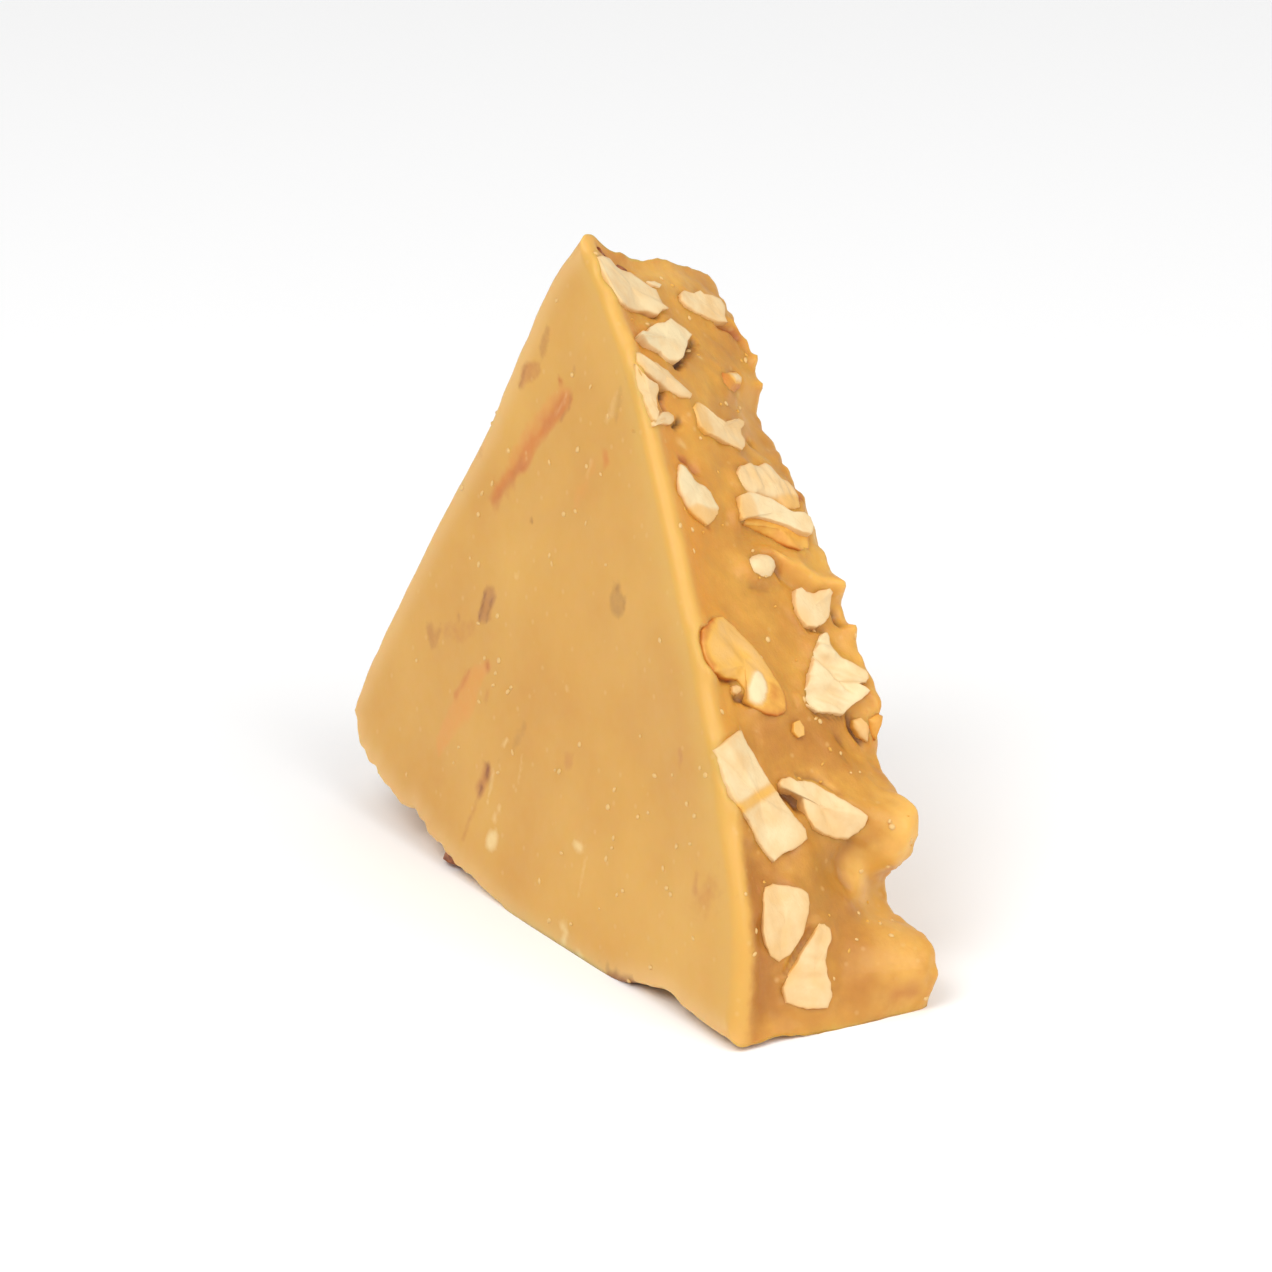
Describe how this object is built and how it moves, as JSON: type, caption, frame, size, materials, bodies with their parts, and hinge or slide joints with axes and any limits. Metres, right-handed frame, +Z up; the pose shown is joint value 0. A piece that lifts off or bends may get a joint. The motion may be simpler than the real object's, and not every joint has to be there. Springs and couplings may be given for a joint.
{
  "type": "almond brittle piece",
  "caption": "Wedge-shaped shard of opaque butter toffee with chopped almonds in its broken sides, standing on its broken base.",
  "frame": {"origin": "on the floor under the middle of the shard's box", "axes": "+X along the slab's smooth front face, +Y from the front face to the back one, +Z up"},
  "size_m": [0.0395, 0.0163, 0.0352],
  "materials": {
    "toffee": "satin butter toffee with cream-coloured cut almonds"
  },
  "bodies": {
    "root": {"almond_brittle": "toffee"}
  },
  "joints": []
}
